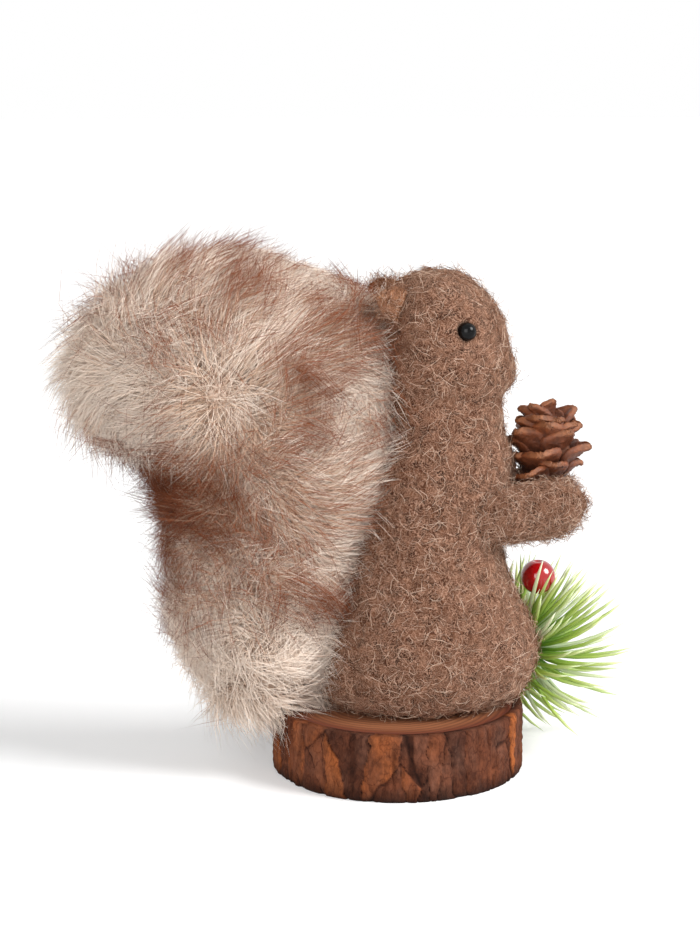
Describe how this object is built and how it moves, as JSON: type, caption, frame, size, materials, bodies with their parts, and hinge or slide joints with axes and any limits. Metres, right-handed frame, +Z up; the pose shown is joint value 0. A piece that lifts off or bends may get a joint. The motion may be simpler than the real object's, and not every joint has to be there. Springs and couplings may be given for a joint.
{
  "type": "squirrel figurine",
  "caption": "Felt squirrel with a tall faux-fur tail, holding a cone and standing on a bark-edged wood slice beside a needle tuft with a berry",
  "frame": {"origin": "centre of the wood slice's underside, where the figurine stands", "axes": "+Z up; the squirrel faces -Y, so its tail is toward +Y; its right side is -X and its left side +X"},
  "size_m": [0.0674, 0.1283, 0.1235],
  "materials": {
    "slice_wood": "matte",
    "bark": "matte",
    "dowel_wood": "matte",
    "glue": "satin",
    "wool_core": "matte",
    "felt": "matte",
    "ear_felt": "matte",
    "eye_bead": "gloss",
    "wire": "satin",
    "fur": "matte",
    "filling": "matte",
    "cone_scale": "satin",
    "twig": "matte",
    "needle": "satin",
    "berry_red": "gloss",
    "berry_wire": "satin"
  },
  "bodies": {
    "root": {"wood_slice": "slice_wood", "bark_ring": "bark", "spine_dowel": "dowel_wood", "body_glue_pad": "glue", "tail_glue_strip": "glue", "sprig_glue": "glue", "body_core": "wool_core", "head_core": "wool_core", "body_felt": "felt", "head_felt": "felt", "arm_left": "felt", "arm_right": "felt", "ear_left": "ear_felt", "ear_right": "ear_felt", "eye_left": "eye_bead", "eye_right": "eye_bead", "arm_wire_left": "wire", "arm_wire_right": "wire", "tail_fur_left": "fur", "tail_fur_right": "fur", "tail_filling": "filling", "cone_core": "cone_scale", "cone_scales_row_1": "cone_scale", "cone_scales_row_2": "cone_scale", "cone_scales_row_3": "cone_scale", "cone_scales_row_4": "cone_scale", "cone_scales_row_5": "cone_scale", "sprig_twig": "twig", "needles_tip": "needle", "needles_middle": "needle", "needles_back": "needle", "berry": "berry_red", "berry_wire": "berry_wire"}
  },
  "joints": []
}
